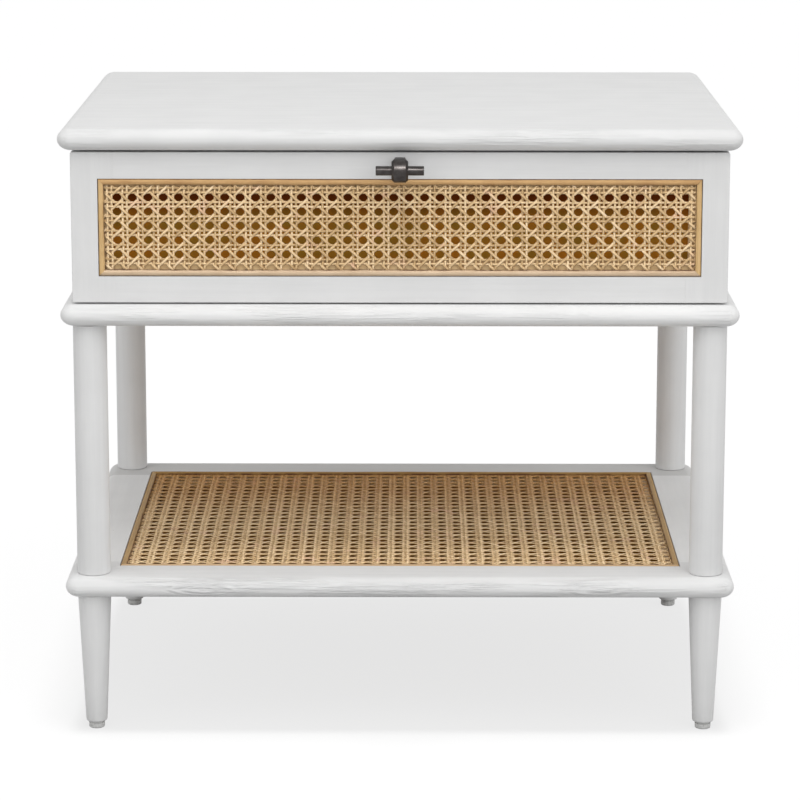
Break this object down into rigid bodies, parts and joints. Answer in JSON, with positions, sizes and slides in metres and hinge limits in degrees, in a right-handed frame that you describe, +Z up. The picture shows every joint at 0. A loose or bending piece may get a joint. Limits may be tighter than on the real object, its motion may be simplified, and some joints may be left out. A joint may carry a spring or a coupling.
{
  "type": "nightstand",
  "caption": "Painted nightstand with a cane-fronted drawer on full-extension slides, an open cane shelf, round posts and tapered legs.",
  "frame": {"origin": "middle of the whole outline, handle included, on the floor under the glides", "axes": "+Z up, -Y out of the drawer front, +X to the right of someone facing the drawer"},
  "size_m": [0.6, 0.4732, 0.55],
  "materials": {
    "white_paint": "brushed matte white paint over solid wood",
    "cane": "natural cane webbing, satin",
    "reed": "natural rattan reed, satin",
    "backing_board": "brown stained board",
    "drawer_wood": "clear lacquered plywood",
    "gunmetal": "dark gunmetal, satin",
    "zinc_steel": "bright zinc",
    "glide_plastic": "light grey nylon"
  },
  "bodies": {
    "cabinet": {"top_board": "white_paint", "floor_board": "white_paint", "case_side_left": "white_paint", "case_side_right": "white_paint", "case_back_panel": "white_paint", "top_rail_front": "drawer_wood", "top_rail_back": "drawer_wood", "post_front_left": "white_paint", "post_front_right": "white_paint", "post_back_left": "white_paint", "post_back_right": "white_paint", "leg_front_left": "white_paint", "leg_front_right": "white_paint", "leg_back_left": "white_paint", "leg_back_right": "white_paint", "leg_bolt_front_left": "zinc_steel", "leg_bolt_front_right": "zinc_steel", "leg_bolt_back_left": "zinc_steel", "leg_bolt_back_right": "zinc_steel", "glide_front_left": "glide_plastic", "glide_front_right": "glide_plastic", "glide_back_left": "glide_plastic", "glide_back_right": "glide_plastic", "shelf_rail_front": "white_paint", "shelf_rail_back": "white_paint", "shelf_stile_left": "white_paint", "shelf_stile_right": "white_paint", "shelf_webbing": "cane", "shelf_backing": "backing_board", "shelf_reed_front": "reed", "shelf_reed_back": "reed", "shelf_reed_left": "reed", "shelf_reed_right": "reed", "slide_cabinet_member_left": "zinc_steel", "slide_cabinet_member_right": "zinc_steel"},
    "slide_runner_left": {"slide_middle_member_left": "zinc_steel"},
    "slide_runner_right": {"slide_middle_member_right": "zinc_steel"},
    "drawer": {"drawer_front_rail_top": "white_paint", "drawer_front_rail_bottom": "white_paint", "drawer_front_stile_left": "white_paint", "drawer_front_stile_right": "white_paint", "drawer_webbing": "cane", "drawer_backing": "backing_board", "drawer_reed_top": "reed", "drawer_reed_bottom": "reed", "drawer_reed_left": "reed", "drawer_reed_right": "reed", "drawer_side_left": "drawer_wood", "drawer_side_right": "drawer_wood", "drawer_inner_front": "drawer_wood", "drawer_back": "drawer_wood", "drawer_bottom": "drawer_wood", "slide_drawer_member_left": "zinc_steel", "slide_drawer_member_right": "zinc_steel", "handle_stem": "gunmetal", "handle_collar": "gunmetal", "handle_bar": "gunmetal", "handle_bolt": "zinc_steel"}
  },
  "joints": [
    {"name": "drawer_slide", "type": "slide", "parent": "cabinet", "child": "drawer", "axis": [0, -1, 0], "range_m": [0, 0.3]},
    {"name": "runner_slide_left", "type": "slide", "parent": "cabinet", "child": "slide_runner_left", "axis": [0, -1, 0], "range_m": [0, 0.15]},
    {"name": "runner_slide_right", "type": "slide", "parent": "cabinet", "child": "slide_runner_right", "axis": [0, -1, 0], "range_m": [0, 0.15]}
  ],
  "couplings": [
    {"joint": "runner_slide_left", "follows": "drawer_slide", "ratio": 0.5},
    {"joint": "runner_slide_right", "follows": "drawer_slide", "ratio": 0.5}
  ]
}
